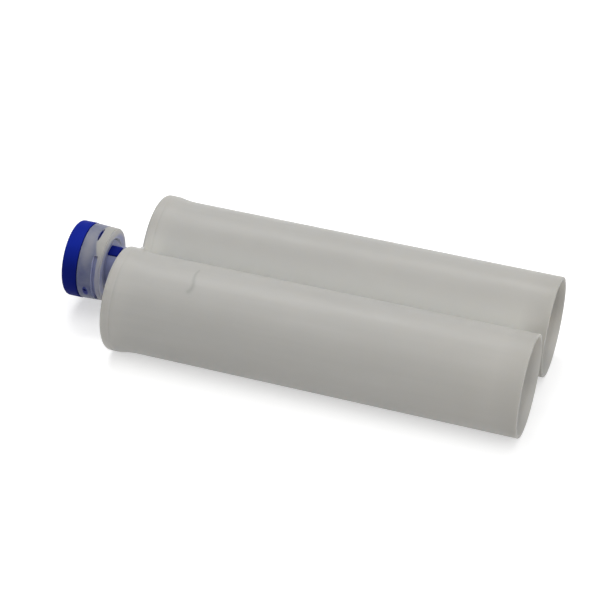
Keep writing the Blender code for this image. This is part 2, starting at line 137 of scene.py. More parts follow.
# Retaining nut
NUT_FRONT_RADIUS = 18.6 * MM
NUT_REAR_RADIUS = 18.1 * MM
NUT_GROOVE_PLACE = 2.1 * MM
NUT_GROOVE_WIDTH = 2.1 * MM
NUT_GROOVE_FLOOR = 16.7 * MM
NUT_GROOVE_ROUND = 0.4 * MM
NUT_GROOVE_ANGLE = math.radians(92.5)
NUT_GROOVE_END = 12.6 * MM
NUT_REAR_EDGE = 0.5 * MM
NUT_FRONT_EDGE = 0.3 * MM
NUT_THREAD_ROOM = 1.0 * MM
NUT_LIP_GAP = 0.4 * MM
NUT_INNER_ROUND = 0.25 * MM
SLIT_PLACE = 4.4 * MM
SLIT_WIDTH = 0.7 * MM
SLIT_LENGTH = 8.8 * MM
SLIT_ANGLE = math.radians(9.0)
SLIT_ROUND = 0.3 * MM
PORT_RADIUS = 0.9 * MM
PORT_ANGLE = math.radians(110.0)
PORT_PLACE = 3.9 * MM
NUT_SYMMETRY = 2

# Pistons and their seals
PISTON_LENGTH = 16.0 * MM
PISTON_GAP = 0.4 * MM
PISTON_NOSE_WIDTH = 3.0 * MM
PISTON_NOSE_LENGTH = 2.0 * MM
PISTON_WALL = 2.4 * MM
PISTON_CROWN = 2.6 * MM
PISTON_HUB_RADIUS = 5.0 * MM
PISTON_RIB_STEP = 2.5 * MM
PISTON_EDGE = 0.6 * MM
PISTON_ROUND = 0.4 * MM
SEAL_THICKNESS = 2.4 * MM
SEAL_RUNNING_GAP = 0.08 * MM
SEAL_PLACE = 5.5 * MM

# Moulding mark on the near barrel: its course as (way behind the barrel's front, angle in degrees)
MARK_COURSE = ((40.6, -1.0), (40.1, 7.0), (40.4, 15.6), (41.2, 23.0), (41.0, 29.0), (40.2, 32.5))
MARK_HALF_WIDTH = (0.48 * MM, 1.15 * MM)
MARK_DEPTH = 0.08 * MM
MARK_LIP = 0.035 * MM
MARK_MARGIN = 2.4 * MM
MARK_LIP_PLACE = 1.6
MARK_LIP_LIMIT = 3.0
MARK_COURSE_STEPS = 8

# Fineness of the round surfaces
BARREL_STEPS = 192
NOSE_STEPS = 224
PISTON_STEPS = 160
SEAL_STEPS = 160
SEAL_SIDES = 24
PORT_STEPS = 40
FILLET_STEPS = 8
CORNER_STEPS = 5
TONGUE_STEPS = 16
ROUND_STEP = math.radians(12.0)
LONG_STEP = 6.0 * MM
THREAD_STEP = 0.16 * MM
MARK_STEP = 0.22 * MM
SHARP_ANGLE = math.radians(32.0)
OVERCUT = 1.0 * MM
GUIDE_PHASE = 0.5
ON_AXIS = 1e-9
ROUND_MARGIN = 0.01 * MM

# Camera and picture
PICTURE = 612
FOCAL_LENGTH = 2199.9
CAMERA_AZIMUTH = math.radians(15.777)
CAMERA_ELEVATION = math.radians(32.425)
CAMERA_ROLL = math.radians(3.411)
CAMERA_DISTANCE = 1057.4 * MM
CAMERA_TARGET = Vector((1.64 * MM, 0.0, 25.43 * MM))
SENSOR_WIDTH = 36.0

# Lamps and background: size, place and power of each lamp
STREAK_SIZE = (0.70, 0.26)
STREAK_PLACE = (-0.24, 0.42, 0.95)
STREAK_POWER = 3.9
OVERHEAD_SIZE = (1.4, 1.0)
OVERHEAD_PLACE = (0.1, -0.25, 1.4)
OVERHEAD_POWER = 6.3
SIDE_SIZE = (1.6, 1.2)
SIDE_PLACE = (0.5, -1.1, 1.05)
SIDE_POWER = 7.5
END_SIZE = (1.2, 0.9)
END_PLACE = (1.35, -0.45, 0.75)
END_POWER = 2.6
AMBIENT = 0.25
FLOOR_SIZE = 6.0
FLOOR_COLOUR = (0.8, 0.8, 0.8, 1.0)
FLOOR_GLOW = 0.5

# Colours of the plastics, as linear values, and of the painted light and painted shade on them
NATURAL = (0.465, 0.456, 0.431, 1.0)
# Painted shade: the natural plastic made darker for the nut
NUT_NATURAL_PAINTED_SHADE = (0.40, 0.394, 0.374, 1.0)
# Painted light on the nut's faces that look back at the barrels
NUT_FACE_PAINTED_LIGHT = (0.70, 0.69, 0.665, 1.0)
# Painted light on the flanks between the barrels
VALLEY_PAINTED_LIGHT = (0.685, 0.678, 0.644, 1.0)
# Painted shade near the barrels' open ends
BARREL_END_PAINTED_SHADE = (0.415, 0.407, 0.385, 1.0)
# Painted light in the bores, at their sides and at their tops and bottoms
BORE_SIDE_PAINTED_LIGHT = (0.49, 0.486, 0.475, 1.0)
BORE_PAINTED_LIGHT = (0.615, 0.604, 0.578, 1.0)
# Painted shade on the barrels' rim faces
RIM_FACE_PAINTED_SHADE = (0.36, 0.352, 0.333, 1.0)
LILAC_LIGHT = (0.178, 0.19, 0.27, 1.0)
# Painted shade on the nut's sides
LILAC_PAINTED_SHADE = (0.116, 0.131, 0.238, 1.0)
LILAC_GROOVE = (0.212, 0.23, 0.405, 1.0)
# Painted light on the tinted parts of the nut's back faces
LILAC_FACE_PAINTED_LIGHT = (0.44, 0.475, 0.735, 1.0)
# Painted light in the gap between the nut's bore and the spigot
LILAC_GAP_PAINTED_LIGHT = (0.78, 0.80, 0.92, 1.0)
PALE_SPOT = (0.36, 0.36, 0.36, 1.0)
NECK_TINT = (0.17, 0.19, 0.35, 1.0)
# Painted light on the neck's faces that look back at the barrels
NECK_FACE_PAINTED_LIGHT = (0.29, 0.31, 0.52, 1.0)
BLUE = (0.0075, 0.020, 0.285, 1.0)
# Painted shade on the plug's lower flanks and key
BLUE_PAINTED_SHADE = (0.0045, 0.0105, 0.155, 1.0)
BLUE_SHOWING = (0.012, 0.020, 0.19, 1.0)
WHITE = (0.72, 0.72, 0.69, 1.0)
BLACK = (0.018, 0.018, 0.02, 1.0)

# Grain of the plastics: noises, by features to a metre, and what they do to tone, gloss and surface
CLOUDS = {"scale": 34.0, "detail": 4.0, "stretch": (0.45, 1.0, 1.0)}
CLOUD_TONES = (0.965, 1.03)
FLOW = {"scale": 260.0, "detail": 3.0, "stretch": (0.04, 1.0, 1.0), "rough": 0.6}
FLOW_TONE = 0.95
FLOW_SHARE = 0.5
SATIN = {"scale": 90.0, "detail": 3.0, "stretch": (0.3, 1.0, 1.0)}
SATIN_ROUGHNESS = (0.33, 0.40)
GRAIN = {"scale": 2600.0, "detail": 2.0}
LINES = {"scale": 700.0, "detail": 2.0, "stretch": (0.03, 1.0, 1.0)}
LINE_SHARE = 0.6
GRAIN_HEIGHT = 0.012 * MM
PLAIN_CLOUDS = {"scale": 120.0, "detail": 4.0}
PLAIN_SATIN = {"scale": 300.0, "detail": 3.0}
PLAIN_ROUGHNESS = (-0.04, 0.05)
PLAIN_GRAIN_HEIGHT = 0.01 * MM
BUMP_STRENGTH = 0.6
TINT_PATCHES = {"scale": 160.0, "detail": 3.0}
TINT_PATCH_SHARE = 0.8

# How the plastics take light
MILKINESS = 0.5
MILK_DEPTH = (6.0 * MM, 5.4 * MM, 4.4 * MM)
NATURAL_GLOSS = 0.2
NATURAL_IOR = 1.49
NUT_GLOSS = 0.1
BLUE_FINISH = {"roughness": 0.5, "grain": 1800.0, "gloss": 0.02, "variation": 0.06}
WHITE_FINISH = {"roughness": 0.45, "grain": 1800.0, "gloss": 0.42, "variation": 0.02}
RUBBER_FINISH = {"roughness": 0.5, "grain": 2600.0, "gloss": 0.4, "variation": 0.15}

# Where the colours, the painted light and the painted shade change
# Place of the painted light between the barrels
VALLEY_REACH = 15.0 * MM
VALLEY_DEPTH = 3.5 * MM
BARREL_END_REACH = 14.0 * MM
BORE_PAINTED_LIGHT_HEIGHT = (3.0 * MM, 20.0 * MM)
PATCH_ANGLE = math.radians(4.0)
PATCH_REACH = (15.7 * MM, 18.5 * MM)
FACE_BORDER = (14.0 * MM, 17.6 * MM)
FACE_TURN = (0.8, 0.99)
SPOT_ANGLE = math.radians(36.0)
SPOT_REACH = 21.3 * MM
SPOT_SIZE = (10.0 * MM, 2.8 * MM)
SPOT_SHARE = 0.4
STAIN_EDGE = 0.35 * MM
STAIN_CORE = 0.7
STAIN_END = 1.3
PORT_STAIN = (3.2 * MM, 1.3 * MM)
PORT_STAIN_ANGLE = math.radians(113.0)
# Painted shade along the mark's groove: its share and tone
MARK_SHADE_SHARE = 0.4
MARK_SHADE_TONE = 0.55
NECK_TINT_SHARE = 0.9
NECK_TINT_REACH = (0.5 * MM, 3.5 * MM)
NECK_TINT_FADE = 1.5 * MM
PATCH_TURN = (-0.2, 0.65)
PATCH_FADE = 0.5 * MM
BORDER_TURN = (-0.8, 0.9)
BORDER_FADE = (1.6 * MM, 0.9 * MM)
# Painted shade: more tint on the nut's sides
SHADE_VEIL_SHARE = 0.5
SHADE_VEIL_TURN = (-0.75, 0.3)
LILAC_TURN = (-0.75, 0.1)
HOLLOW_RADIUS = (17.0 * MM, 17.7 * MM)
RIDGE_FADE = 0.2 * MM
GAP_FADE = 0.6 * MM
# Painted shade on the plug's lower flanks starts and ends at these turns
FLANK_SHADE_TURN = (0.25, 0.8)

# Sizes that follow from the ones above
BORE_RADIUS = BARREL_RADIUS - BARREL_WALL
FRONT_RADIUS = BARREL_RADIUS - BARREL_DRAFT
FRONT_X = REAR_X - BARREL_LENGTH
PLUG_SEAT = SPIGOT_REACH + SEAT_GAP
SKIRT_INNER_RADIUS = SPIGOT_RADIUS + SEAT_GAP
SKIRT_RADIUS = SKIRT_INNER_RADIUS + SKIRT_WALL
DISC_REAR = PLUG_SEAT + PLUG_FLOOR
NOSE_REACH = DISC_REAR + DISC_THICKNESS
SKIRT_FRONT = DISC_REAR - PLUG_GROOVE_WIDTH
SKIRT_REAR = SPIGOT_REACH - SKIRT_REACH_BACK
NUT_REAR = NECK_REACH - SEAT_GAP
NUT_FRONT = DISC_REAR - SEAT_GAP
NUT_LIP_RADIUS = PLUG_GROOVE_RADIUS + NUT_LIP_GAP
NUT_LIP_REAR = SKIRT_FRONT + SEAT_GAP
NUT_CHAMBER_RADIUS = SKIRT_RADIUS + NUT_LIP_GAP
NUT_CHAMBER_REAR = SKIRT_REAR - 2 * SEAT_GAP
NUT_BORE_RADIUS = SPIGOT_RADIUS + NUT_THREAD_ROOM
NECK_SINK = SEAT_GAP / 3
NECK_FOOT_ROUND = NECK_FOOT * 0.9
PISTON_START = FRONT_X + FRONT_WALL + SEAT_GAP
PLUG_STEP = LONG_STEP / 4
PISTON_STEP = LONG_STEP / 3
SIDES = {"left": -1, "right": 1}


def nose(reach):
    """The X of a place on the nose."""
    return FRONT_X - reach


def rounded(corners, closed=False):
    """Points of an outline from its corners (x, r, rounding): each corner with a rounding becomes an arc."""
    points = []
    count = len(corners)
    for index, (x, r, radius) in enumerate(corners):
        corner = Vector((x, r))
        ends = not closed and index in (0, count - 1)
        if radius == 0.0 or ends:
            points.append(corner)
            continue
        before = (Vector(corners[index - 1][:2]) - corner).normalized()
        after = (Vector(corners[(index + 1) % count][:2]) - corner).normalized()
        opening = before.angle(after)
        reach = radius / math.tan(opening / 2)
        centre = corner + (before + after).normalized() * radius / math.sin(opening / 2)
        start = corner + before * reach - centre
        turn = start.angle_signed(corner + after * reach - centre)
        steps = max(2, math.ceil(abs(turn) / ROUND_STEP))
        for step in range(steps + 1):
            points.append(centre + Matrix.Rotation(-turn * step / steps, 2) @ start)
    return [(point.x, point.y) for point in points]


def split(points, step, low=-math.inf, high=math.inf):
    """The same outline with its long stretches, or those between two places, split into shorter ones."""
    result = [points[0]]
    for (x0, r0), (x1, r1) in zip(points, points[1:]):
        inside = min(x0, x1) < high and max(x0, x1) > low
        length = math.hypot(x1 - x0, r1 - r0)
        parts = max(1, math.ceil(length / step)) if inside and x0 != x1 else 1
        for part in range(1, parts + 1):
            share = part / parts
            result.append((x0 + (x1 - x0) * share, r0 + (r1 - r0) * share))
    return result


def even_angles(steps, phase=0.0):
    return [math.tau * (step + phase) / steps for step in range(steps)]


def lathe(name, outline, angles, y=0.0, ring=False, swell=None):
    """A closed body turned about an axis along X, from an outline of (x, r) points."""
    made = bmesh.new()
    rows = []
    for x, r in outline:
        if r < ON_AXIS:
            rows.append([made.verts.new((x, y, AXIS_Z))] * len(angles))
            continue
        row = []
        for angle in angles:
            radius = r + swell(x, r, angle) if swell else r
            row.append(made.verts.new((x, y - radius * math.sin(angle), AXIS_Z + radius * math.cos(angle))))
        rows.append(row)
    pairs = list(zip(rows, rows[1:]))
    if ring:
        pairs.append((rows[-1], rows[0]))
    for first, second in pairs:
        for index in range(len(angles)):
            after = (index + 1) % len(angles)
            corners = [first[index], first[after], second[after], second[index]]
            corners = list(dict.fromkeys(corners))
            if len(corners) > 2:
                made.faces.new(corners)
    return finished(name, made)


def prism(name, outline, low, high, turn=0.0):
    """A body extruded along X from a flat outline of (y, z) points round the nose's axis."""
    made = bmesh.new()
    spin = Matrix.Rotation(turn, 2)
    ends = []
    for x in (low, high):
        flat = [spin @ Vector(point) for point in outline]
        ends.append([made.verts.new((x, point.x, AXIS_Z + point.y)) for point in flat])
    made.faces.new(ends[0])
    made.faces.new(reversed(ends[1]))
    for index in range(len(outline)):
        after = (index + 1) % len(outline)
        made.faces.new([ends[0][index], ends[1][index], ends[1][after], ends[0][after]])
    return finished(name, made)


def slab(name, low, high, turn=0.0, y=0.0, corner=0.0):
    """A box between two corners, turned about the X axis, whose upright edges can be rounded."""
    made = bmesh.new()
    bmesh.ops.create_cube(made, size=1.0)
    size = [high[i] - low[i] for i in range(3)]
    middle = [(high[i] + low[i]) / 2 for i in range(3)]
    stretch = Matrix.Translation(middle) @ Matrix.Diagonal((*size, 1.0))
    bmesh.ops.transform(made, matrix=stretch, verts=made.verts)
    if corner:
        upright = [edge for edge in made.edges if edge_rise(edge) > size[2] / 2]
        bmesh.ops.bevel(made, geom=upright, offset=corner, segments=CORNER_STEPS, profile=0.5, affect="EDGES")
    place = Matrix.Translation((0.0, y, AXIS_Z)) @ Matrix.Rotation(turn, 4, "X")
    bmesh.ops.transform(made, matrix=place, verts=made.verts)
    return finished(name, made)


def edge_rise(edge):
    first, second = edge.verts
    return abs((first.co - second.co).z)


def finished(name, made):
    """An object from a bmesh, with its faces pointing out."""
    bmesh.ops.recalc_face_normals(made, faces=made.faces)
    mesh = bpy.data.meshes.new(name)
    made.to_mesh(mesh)
    made.free()
    obj = bpy.data.objects.new(name, mesh)
    bpy.context.scene.collection.objects.link(obj)
    return obj


def combine(obj, tool, operation):
    """Join a helper body to an object, or cut it away, and remove the helper."""
    boolean = obj.modifiers.new(operation.lower(), "BOOLEAN")
    boolean.operation = operation
    boolean.solver = "EXACT"
    boolean.object = tool
    bake(obj)
    bpy.data.objects.remove(tool, do_unlink=True)


def bake(obj):
    """Turn an object's modifiers into its own mesh."""
    bpy.context.view_layer.update()
    graph = bpy.context.evaluated_depsgraph_get()
    mesh = bpy.data.meshes.new_from_object(obj.evaluated_get(graph))
    obj.modifiers.clear()
    obj.data = mesh
    mesh.name = obj.name


def dress(obj, material, node, body):
    """Smooth a piece, give it its material, and let it stand for its solid on that solid's body."""
    obj.data.shade_smooth()
    obj.data.set_sharp_from_angle(angle=SHARP_ANGLE)
    obj.data.materials.clear()
    obj.data.materials.append(material)
    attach(obj, body)
    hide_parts(node)


def mark_shape(x, angle):
    """How deep in the moulding mark's groove and how high on its lip a place is, each from 0 to 1."""
    behind = (x - FRONT_X) / MM
    degrees = math.degrees(angle)
    if degrees > 180.0:
        degrees -= 360.0
    best = math.inf
    across = 0.0
    width = MARK_HALF_WIDTH[0]
    scale = math.radians(1.0) * FRONT_RADIUS
    steps = MARK_COURSE_STEPS * (len(MARK_COURSE) - 1)
    for step in range(steps + 1):
        share = step / steps
        there, turn = course_point(share)
        gap_x = (behind - there) * MM
        distance = math.hypot(gap_x, (degrees - turn) * scale)
        if distance < best:
            best = distance
            across = gap_x
            width = MARK_HALF_WIDTH[0] + (MARK_HALF_WIDTH[1] - MARK_HALF_WIDTH[0]) * share
    groove = math.exp(-(best / width) ** 2)
    lip = math.exp(-((across - MARK_LIP_PLACE * width) / width) ** 2) * (best < MARK_LIP_LIMIT * width)
    return groove, lip


def course_point(share):
    """A point of the mark's course, on a smooth curve through its given points."""
    place = share * (len(MARK_COURSE) - 1)
    index = min(int(place), len(MARK_COURSE) - 2)
    t = place - index
    picks = [MARK_COURSE[max(0, min(len(MARK_COURSE) - 1, index + k))] for k in (-1, 0, 1, 2)]
    result = []
    for a, b, c, d in zip(*picks):
        squared = (2 * a - 5 * b + 4 * c - d) * t ** 2
        cubed = (3 * b - a - 3 * c + d) * t ** 3
        result.append(0.5 * (2 * b + (c - a) * t + squared + cubed))
    return result


def mark_window():
    """Lowest and highest X and angle of the fine grid round the mark."""
    places = [point[0] * MM for point in MARK_COURSE]
    turns = [math.radians(point[1]) for point in MARK_COURSE]
    margin = MARK_MARGIN / FRONT_RADIUS
    return (FRONT_X + min(places) - MARK_MARGIN, FRONT_X + max(places) + MARK_MARGIN,
            min(turns) - margin, max(turns) + margin)


def mark_swell(x, r, angle):
    """The mark's shallow groove and the low lip on its right, as a change of the barrel's radius."""
    low_x, high_x, low_turn, high_turn = mark_window()
    turn = angle if angle < math.pi else angle - math.tau
    if not (low_x < x < high_x and low_turn < turn < high_turn):
        return 0.0
    groove, lip = mark_shape(x, angle)
    return MARK_LIP * lip - MARK_DEPTH * groove


def mark_angles():
    """Angles round the near barrel, closer together at the mark."""
    _, _, low, high = mark_window()
    fine = math.ceil((high - low) * FRONT_RADIUS / MARK_STEP)
    coarse = math.ceil((math.tau - high + low) * BARREL_STEPS / math.tau)
    angles = [low + (high - low) * step / fine for step in range(fine)]
    angles += [high + (math.tau - high + low) * step / coarse for step in range(coarse)]
    return angles


def barrel_outline():
    band_end = FRONT_X + BAND_LENGTH
    ring = FRONT_X + RING_PLACE
    half = RING_WIDTH / 2
    return rounded([
        (REAR_X, 0.0, 0.0),
        (REAR_X, BARREL_RADIUS, RIM_ROUND),
        (band_end + BAND_BLEND, FRONT_RADIUS, BLEND_ROUND),
        (band_end, BAND_RADIUS, BAND_ROUND),
        (ring + half, BAND_RADIUS, RING_ROUND),
        (ring, BAND_RADIUS - RING_DEPTH, RING_ROUND),
        (ring - half, BAND_RADIUS, RING_ROUND),
        (FRONT_X, BAND_RADIUS, SHOULDER_RADIUS),
        (FRONT_X, 0.0, 0.0),
    ])


def bore_outline():
    floor = FRONT_X + FRONT_WALL
    return rounded([
        (REAR_X + OVERCUT, 0.0, 0.0),
        (REAR_X + OVERCUT, BORE_RADIUS + LEAD_IN_WIDTH * (1 + OVERCUT / LEAD_IN_LENGTH), 0.0),
        (REAR_X - LEAD_IN_LENGTH, BORE_RADIUS, LEAD_IN_ROUND),
        (floor, BORE_RADIUS, BORE_CORNER),
        (floor, 0.0, 0.0),
    ])


def neck_outline():
    return rounded([
        (nose(-FRONT_WALL / 2), 0.0, 0.0),
        (nose(-FRONT_WALL / 2), NECK_RADIUS + NECK_FOOT, 0.0),
        (nose(-NECK_SINK), NECK_RADIUS + NECK_FOOT, 0.0),
        (nose(-NECK_SINK), NECK_RADIUS, NECK_FOOT_ROUND),
        (nose(NECK_REACH), NECK_RADIUS, SPIGOT_ROUND),
        (nose(NECK_REACH), SPIGOT_RADIUS, SPIGOT_ROUND),
        (nose(SPIGOT_REACH), SPIGOT_RADIUS, SPIGOT_EDGE),
        (nose(SPIGOT_REACH), 0.0, 0.0),
    ])


def thread_swell(x, angle, crest, offset):
    """Height of a two-start ridge: a right-hand helix about the nose's axis, fading out at both ends."""
    reach = FRONT_X - x
    if not THREAD_REAR < reach < THREAD_FRONT:
        return 0.0
    turns = reach / THREAD_LEAD - angle / math.tau
    phase = (turns * THREAD_STARTS + offset) % 1.0
    place = abs(phase - 0.5) * 2
    height = max(0.0, min(1.0, (THREAD_SHARE - place) / (THREAD_SHARE / 2)))
    fade = min(1.0, (reach - THREAD_REAR) / THREAD_FADE, (THREAD_FRONT - reach) / THREAD_FADE)
    return crest * height * fade


def spigot_swell(x, r, angle):
    outer = r > SPIGOT_RADIUS - ROUND_MARGIN
    return thread_swell(x, angle, THREAD_CREST, 0.0) if outer else 0.0


def nut_swell(x, r, angle):
    inner = r < NUT_BORE_RADIUS + ROUND_MARGIN
    return -thread_swell(x, angle, NUT_THREAD_CREST, 0.5) if inner else 0.0


def saddle(half_height, radius, fillet):
    """Flat outline of a rib between two round walls of one radius, with fillets where it meets them."""
    middle_z = half_height + fillet
    across = math.sqrt((radius + fillet) ** 2 - middle_z ** 2)
    middle_y = BARREL_OFFSET - across
    quarter = []
    for step in range(FILLET_STEPS + 1):
        angle = -math.pi / 2 + (math.pi / 2 - math.atan2(middle_z, across)) * step / FILLET_STEPS
        quarter.append((middle_y + fillet * math.cos(angle), middle_z + fillet * math.sin(angle)))
    quarter.append((quarter[-1][0] + BARREL_WALL, quarter[-1][1]))
    right = quarter + [(y, -z) for y, z in reversed(quarter)]
    return right + [(-y, z) for y, z in reversed(right)]


def half_disc(radius, divider, sign):
    """D-shaped outline on one side of a divider."""
    limit = math.acos(divider / 2 / radius)
    steps = NOSE_STEPS // 4
    turns = [limit * (2 * step / steps - 1) for step in range(steps + 1)]
    return [(sign * radius * math.cos(turn), radius * math.sin(turn)) for turn in turns]


def tongue(width, floor, roof):
    """Outline of the key: flat below, round above."""
    limit = math.asin(width / 2 / roof)
    points = [(width / 2, floor), (-width / 2, floor)]
    for step in range(TONGUE_STEPS + 1):
        angle = limit * (2 * step / TONGUE_STEPS - 1)
        points.append((roof * math.sin(angle), roof * math.cos(angle)))
    return points


def build_body():
    """The one-piece cartridge moulding."""
    low_x, high_x, _, _ = mark_window()
    plain = split(barrel_outline(), LONG_STEP)
    marked = split(plain, MARK_STEP, low_x, high_x)
    body = lathe("body_moulding", marked, mark_angles(), -BARREL_OFFSET, swell=mark_swell)
    combine(body, lathe("far_barrel", plain, even_angles(BARREL_STEPS), BARREL_OFFSET), "UNION")
    bridge = saddle(BRIDGE_HEIGHT / 2, BAND_RADIUS, BRIDGE_FILLET)
    combine(body, prism("bridge", bridge, FRONT_X + BRIDGE_STEP_BACK, FRONT_X + BAND_LENGTH), "UNION")
    web = saddle(WEB_THICKNESS / 2, FRONT_RADIUS, WEB_FILLET)
    combine(body, prism("web", web, FRONT_X + BAND_LENGTH / 2, REAR_X - WEB_END), "UNION")
    threaded = split(neck_outline(), THREAD_STEP, nose(THREAD_FRONT), nose(THREAD_REAR))
    combine(body, lathe("neck", threaded, even_angles(NOSE_STEPS), swell=spigot_swell), "UNION")
    bore = split(bore_outline(), LONG_STEP)
    mouth = nose(SPIGOT_REACH + OVERCUT)
    for side, sign in SIDES.items():
        cutter = lathe(f"{side}_bore", bore, even_angles(BARREL_STEPS, GUIDE_PHASE), sign * BARREL_OFFSET)
        combine(body, cutter, "DIFFERENCE")
        channel = half_disc(CHANNEL_RADIUS, DIVIDER_THICKNESS, sign)
        combine(body, prism("channel", channel, mouth, nose(-FRONT_WALL - SEAT_GAP)), "DIFFERENCE")
    keyway = tongue(KEY_WIDTH + 2 * SEAT_GAP, KEYWAY_FLOOR, KEYWAY_FLOOR + KEY_THICKNESS + 2 * SEAT_GAP)
    rear = nose(PLUG_SEAT - KEY_LENGTH - SEAT_GAP)
    combine(body, prism("keyway", keyway, mouth, rear, KEY_ANGLE), "DIFFERENCE")
    paint_mark(body)
    return body


def paint_mark(body):
    """Store on the near barrel's outside how deep in the mark each vertex is, for its material."""
    attribute = body.data.attributes.new("mark", "FLOAT", "POINT")
    low_x, high_x, low_turn, high_turn = mark_window()
    values = []
    for vertex in body.data.vertices:
        x, y, z = vertex.co
        turn = math.atan2(-(y + BARREL_OFFSET), z - AXIS_Z)
        outside = math.hypot(y + BARREL_OFFSET, z - AXIS_Z) > (BORE_RADIUS + FRONT_RADIUS) / 2
        inside = low_x < x < high_x and low_turn < turn < high_turn and outside
        values.append(mark_shape(x, turn)[0] if inside else 0.0)
    attribute.data.foreach_set("value", values)


def build_plug():
    """The blue closure plug."""
    outline = rounded([
        (nose(PLUG_SEAT), 0.0, 0.0),
        (nose(PLUG_SEAT), SKIRT_INNER_RADIUS, 0.0),
        (nose(SKIRT_REAR), SKIRT_INNER_RADIUS, SKIRT_ROUND),
        (nose(SKIRT_REAR), SKIRT_RADIUS, SKIRT_ROUND),
        (nose(SKIRT_FRONT), SKIRT_RADIUS, SKIRT_ROUND),
        (nose(SKIRT_FRONT), PLUG_GROOVE_RADIUS, SKIRT_ROUND),
        (nose(DISC_REAR), PLUG_GROOVE_RADIUS, SKIRT_ROUND),
        (nose(DISC_REAR), DISC_RADIUS, DISC_REAR_ROUND),
        (nose(NOSE_REACH), DISC_RADIUS, DISC_EDGE),
        (nose(NOSE_REACH), 0.0, 0.0),
    ])
    plug = lathe("plug_moulding", split(outline, PLUG_STEP), even_angles(NOSE_STEPS))
    prong_radius = CHANNEL_RADIUS - SEAT_GAP
    divider = DIVIDER_THICKNESS + 2 * SEAT_GAP
    rear = PLUG_SEAT - PRONG_LENGTH
    root = nose(PLUG_SEAT + SEAT_GAP)
    mouth = nose(NOSE_REACH + OVERCUT)
    for sign in SIDES.values():
        prong = half_disc(prong_radius, divider, sign)
        combine(plug, prism("prong", prong, root, nose(rear + PRONG_TIP)), "UNION")
        tip = half_disc(prong_radius - PRONG_TIP / 2, divider + PRONG_TIP / 2, sign)
        combine(plug, prism("prong_tip", tip, nose(rear + 2 * PRONG_TIP), nose(rear)), "UNION")
        core = half_disc(prong_radius - PRONG_WALL, divider + 2 * PRONG_WALL, sign)
        combine(plug, prism("core", core, mouth, nose(rear + PRONG_WALL)), "DIFFERENCE")
    key = tongue(KEY_WIDTH, KEYWAY_FLOOR + SEAT_GAP, KEYWAY_FLOOR + SEAT_GAP + KEY_THICKNESS)
    combine(plug, prism("key", key, root, nose(PLUG_SEAT - KEY_LENGTH), KEY_ANGLE), "UNION")
    combine(plug, plug_recess(), "DIFFERENCE")
    return plug


def plug_recess():
    """Ring-shaped recess in the disc's front, parted by ribs."""
    outer = DISC_RADIUS - RECESS_RIM
    floor = nose(NOSE_REACH - RECESS_DEPTH)
    mouth = nose(NOSE_REACH + OVERCUT)
    outline = rounded([(floor, RECESS_HUB, RECESS_ROUND), (floor, outer, RECESS_ROUND),
                       (mouth, outer, 0.0), (mouth, RECESS_HUB, 0.0)], closed=True)
    recess = lathe("recess", outline, even_angles(NOSE_STEPS, GUIDE_PHASE), ring=True)
    for index in range(RIB_BARS):
        turn = math.pi * (index + 0.5) / RIB_BARS
        low = (mouth - OVERCUT, -DISC_RADIUS, -RIB_THICKNESS / 2)
        high = (floor + OVERCUT, DISC_RADIUS, RIB_THICKNESS / 2)
        combine(recess, slab("rib", low, high, turn), "DIFFERENCE")
    return recess


def build_nut():
    """The retaining nut: grooves round its sides, and slits and small ports over the plug's skirt."""
    outline = rounded([
        (nose(NUT_REAR), NUT_BORE_RADIUS, NUT_INNER_ROUND),
        (nose(NUT_REAR), NUT_REAR_RADIUS, NUT_REAR_EDGE),
        (nose(NUT_FRONT), NUT_FRONT_RADIUS, NUT_FRONT_EDGE),
        (nose(NUT_FRONT), NUT_LIP_RADIUS, NUT_INNER_ROUND),
        (nose(NUT_LIP_REAR), NUT_LIP_RADIUS, NUT_INNER_ROUND),
        (nose(NUT_LIP_REAR), NUT_CHAMBER_RADIUS, NUT_INNER_ROUND),
        (nose(NUT_CHAMBER_REAR), NUT_CHAMBER_RADIUS, NUT_INNER_ROUND),
        (nose(NUT_CHAMBER_REAR), NUT_BORE_RADIUS, NUT_INNER_ROUND),
    ], closed=True)
    outline.append(outline[0])
    threaded = split(outline, THREAD_STEP, nose(THREAD_FRONT), nose(THREAD_REAR))[:-1]
    nut = lathe("nut_moulding", threaded, even_angles(NOSE_STEPS), ring=True, swell=nut_swell)
    combine(nut, nut_groove(), "DIFFERENCE")
    brim = NUT_FRONT_RADIUS + OVERCUT
    for index in range(NUT_SYMMETRY):
        turn = math.tau * index / NUT_SYMMETRY
        low = (nose(NUT_REAR + SLIT_PLACE + SLIT_WIDTH), -SLIT_LENGTH / 2, NUT_BORE_RADIUS)
        high = (nose(NUT_REAR + SLIT_PLACE), SLIT_LENGTH / 2, brim)
        combine(nut, slab("slit", low, high, SLIT_ANGLE + turn, corner=SLIT_ROUND), "DIFFERENCE")
        combine(nut, nut_port(PORT_ANGLE + turn, brim), "DIFFERENCE")
    return nut


def nut_groove():
    """Two grooves round the nut's sides, each ended by a flat wall as a side core leaves it."""
    rear = nose(NUT_REAR + NUT_GROOVE_PLACE)
    front = rear - NUT_GROOVE_WIDTH
    brim = NUT_FRONT_RADIUS + OVERCUT
    outline = rounded([(rear, NUT_GROOVE_FLOOR, NUT_GROOVE_ROUND), (rear, brim, 0.0),
                       (front, brim, 0.0), (front, NUT_GROOVE_FLOOR, NUT_GROOVE_ROUND)], closed=True)
    groove = lathe("groove", outline, even_angles(NOSE_STEPS, GUIDE_PHASE), ring=True)
    low = (front - OVERCUT, -brim - OVERCUT, -NUT_GROOVE_END)
    high = (rear + OVERCUT, brim + OVERCUT, NUT_GROOVE_END)
    combine(groove, slab("sides", low, high, NUT_GROOVE_ANGLE - math.pi / 2), "INTERSECT")
    return groove


